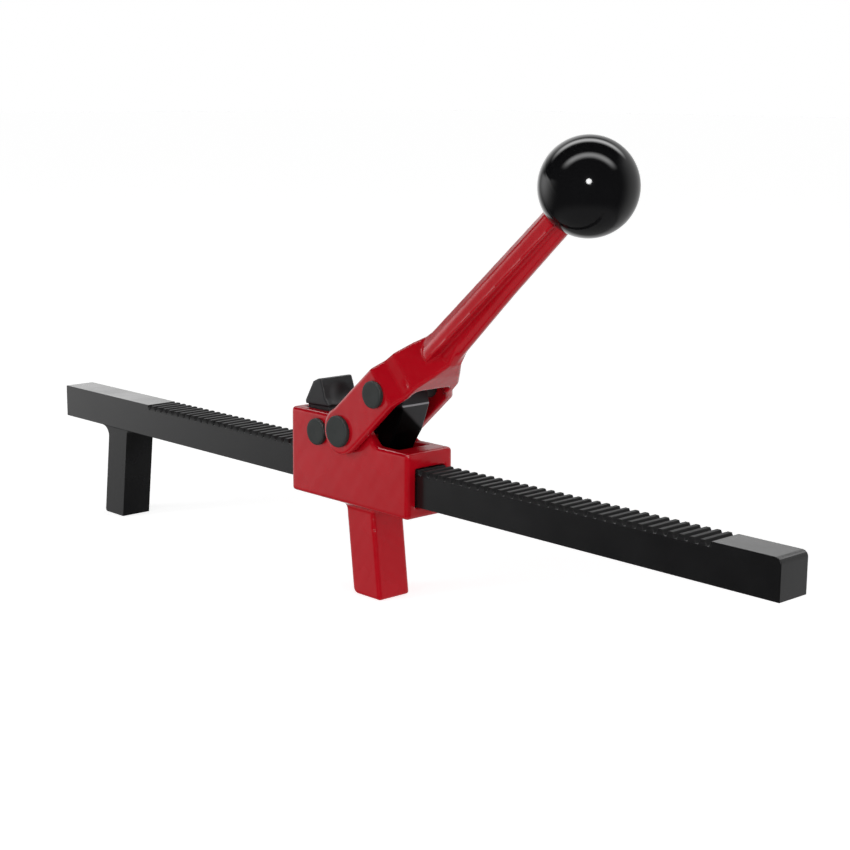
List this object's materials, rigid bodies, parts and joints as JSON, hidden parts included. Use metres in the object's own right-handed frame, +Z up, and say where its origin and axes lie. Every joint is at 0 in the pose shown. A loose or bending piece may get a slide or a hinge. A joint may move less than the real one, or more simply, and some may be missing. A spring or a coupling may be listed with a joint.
{
  "type": "ratcheting rack-bar spreader",
  "caption": "Hand ratchet spreader: a ball-handled lever and its pawl push a sliding jaw along a toothed square bar, and a second pawl with a thumb tab holds what is gained.",
  "frame": {"origin": "on the ground under the middle of the rack bar, between the two feet's sides", "axes": "+X along the rack bar, from the fixed leg toward the plain end; +Z up, from the feet toward the bar; +Y to the side where the pins carry their clips"},
  "size_m": [0.568, 0.0496, 0.2514],
  "materials": {
    "red_enamel": "glossy red powder coat over cast steel",
    "bar_black": "semi-gloss black coated bar",
    "pawl_black": "satin black hardened steel",
    "pin_dark": "dark oiled steel",
    "plain_steel": "plain spring steel and plated steel",
    "insert_brass": "turned brass",
    "knob_black": "polished black phenolic"
  },
  "bodies": {
    "rack": {"rack_bar": "bar_black", "fixed_leg": "bar_black"},
    "slider": {"slider_housing": "red_enamel", "holding_pawl_pin": "pin_dark", "holding_pawl_washer": "plain_steel", "holding_pawl_clip": "plain_steel", "holding_pawl_spring": "plain_steel", "lever_pivot_pin": "pin_dark", "lever_pivot_washer": "plain_steel", "lever_pivot_clip": "plain_steel", "lever_thrust_washers": "plain_steel"},
    "thumb_pawl": {"holding_pawl": "pawl_black"},
    "handle": {"lever": "red_enamel", "drive_pawl_pin": "pin_dark", "drive_pawl_washer": "plain_steel", "drive_pawl_clip": "plain_steel", "drive_pawl_spacers": "plain_steel", "drive_pawl_spring": "plain_steel", "knob_stud": "plain_steel", "knob_insert": "insert_brass", "ball_knob": "knob_black"},
    "push_pawl": {"drive_pawl": "pawl_black"}
  },
  "joints": [
    {"name": "slider_travel", "type": "slide", "parent": "rack", "child": "slider", "axis": [1, 0, 0], "range_m": [-0.144, 0.216]},
    {"name": "lever_swing", "type": "hinge", "parent": "slider", "child": "handle", "pos_m": [0.0089, 0, 0.092], "axis": [0, 1, 0], "range_deg": [-45, 24]},
    {"name": "push_pawl_swing", "type": "hinge", "parent": "handle", "child": "push_pawl", "pos_m": [0.03687, 0, 0.1156], "axis": [0, 1, 0], "range_deg": [-34.5, 18.5]},
    {"name": "thumb_pawl_lift", "type": "hinge", "parent": "slider", "child": "thumb_pawl", "pos_m": [-0.0159, 0, 0.0874], "axis": [0, 1, 0], "range_deg": [0, 20], "stiffness_Nm_per_rad": 0.06, "springref_deg": -34.38}
  ],
  "couplings": [
    {"joint": "push_pawl_swing", "follows": "lever_swing", "ratio": 0.75}
  ]
}
